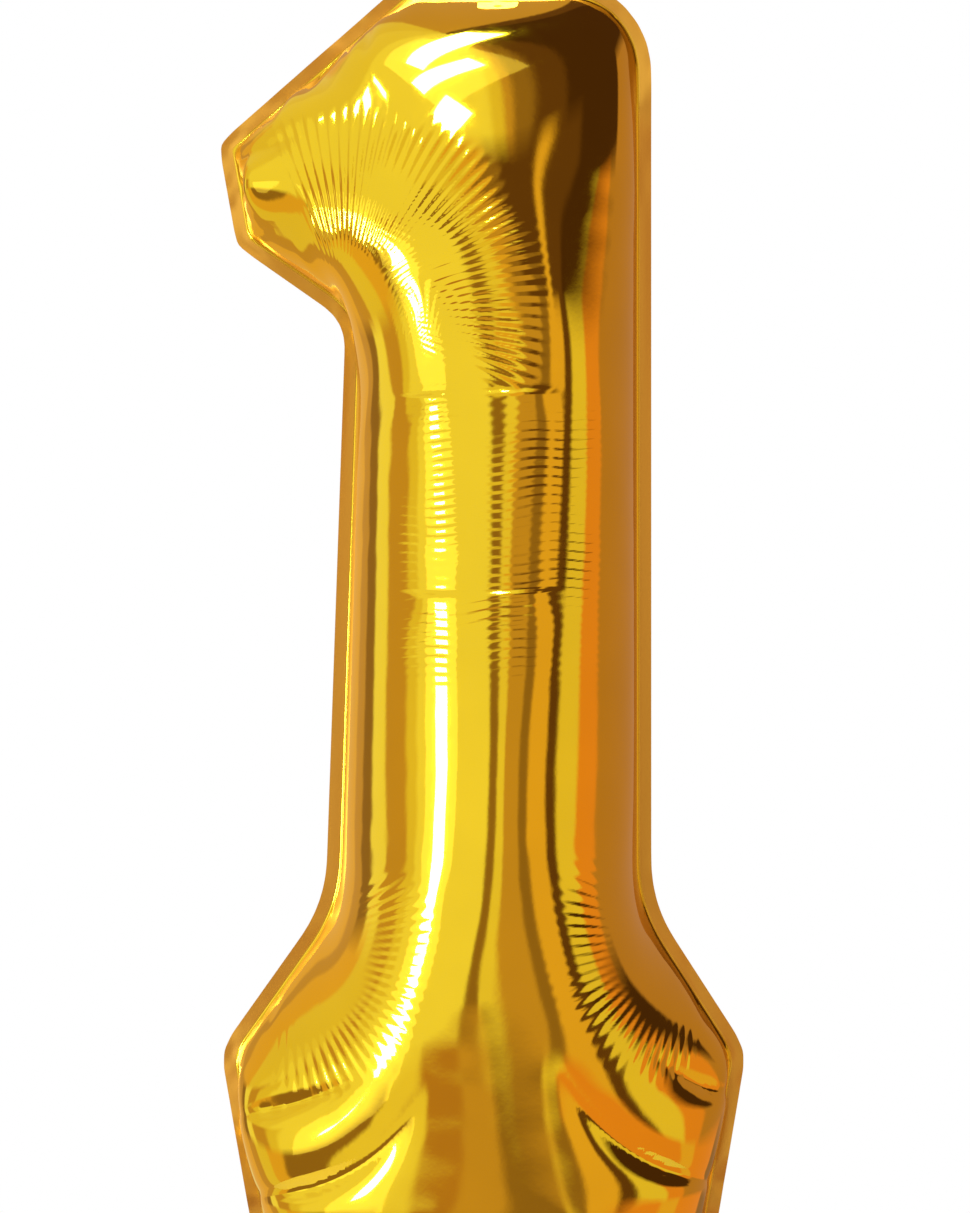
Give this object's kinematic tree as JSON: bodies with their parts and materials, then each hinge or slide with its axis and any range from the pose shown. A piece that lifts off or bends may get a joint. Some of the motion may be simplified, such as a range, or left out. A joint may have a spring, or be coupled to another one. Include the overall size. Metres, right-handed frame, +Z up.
{
  "type": "foil number balloon",
  "caption": "Blown-up foil balloon in the shape of the number 1: front and back gold film panels sealed all round, a flat self-sealing valve, a folding inflation tail and a hanging hole.",
  "frame": {"origin": "centre of the punched hanging hole in the top tab, in the middle plane between the two film panels", "axes": "+Z up along the stem, -Y out of the front, +X to the right seen from the front, so the flag of the 1 points to -X"},
  "size_m": [0.3331, 0.1872, 0.9474],
  "materials": {
    "gold_film": "metallised film, mirror-bright gold",
    "valve_film": "clear polyethylene film"
  },
  "bodies": {
    "hanging_tab": {"hanging_tab_front_ply": "gold_film", "hanging_tab_back_ply": "gold_film"},
    "balloon": {"front_panel": "gold_film", "back_panel": "gold_film", "valve_front_ply": "valve_film", "valve_back_ply": "valve_film"},
    "tail": {"tail_front_ply": "gold_film", "tail_back_ply": "gold_film"}
  },
  "joints": [
    {"name": "tab_fold", "type": "hinge", "parent": "hanging_tab", "child": "balloon", "pos_m": [0, 0, -0.011], "axis": [1, 0, 0], "range_deg": [-100, 100]},
    {"name": "tail_fold", "type": "hinge", "parent": "balloon", "child": "tail", "pos_m": [0, 0, -0.8924], "axis": [1, 0, 0], "range_deg": [-120, 120]}
  ]
}
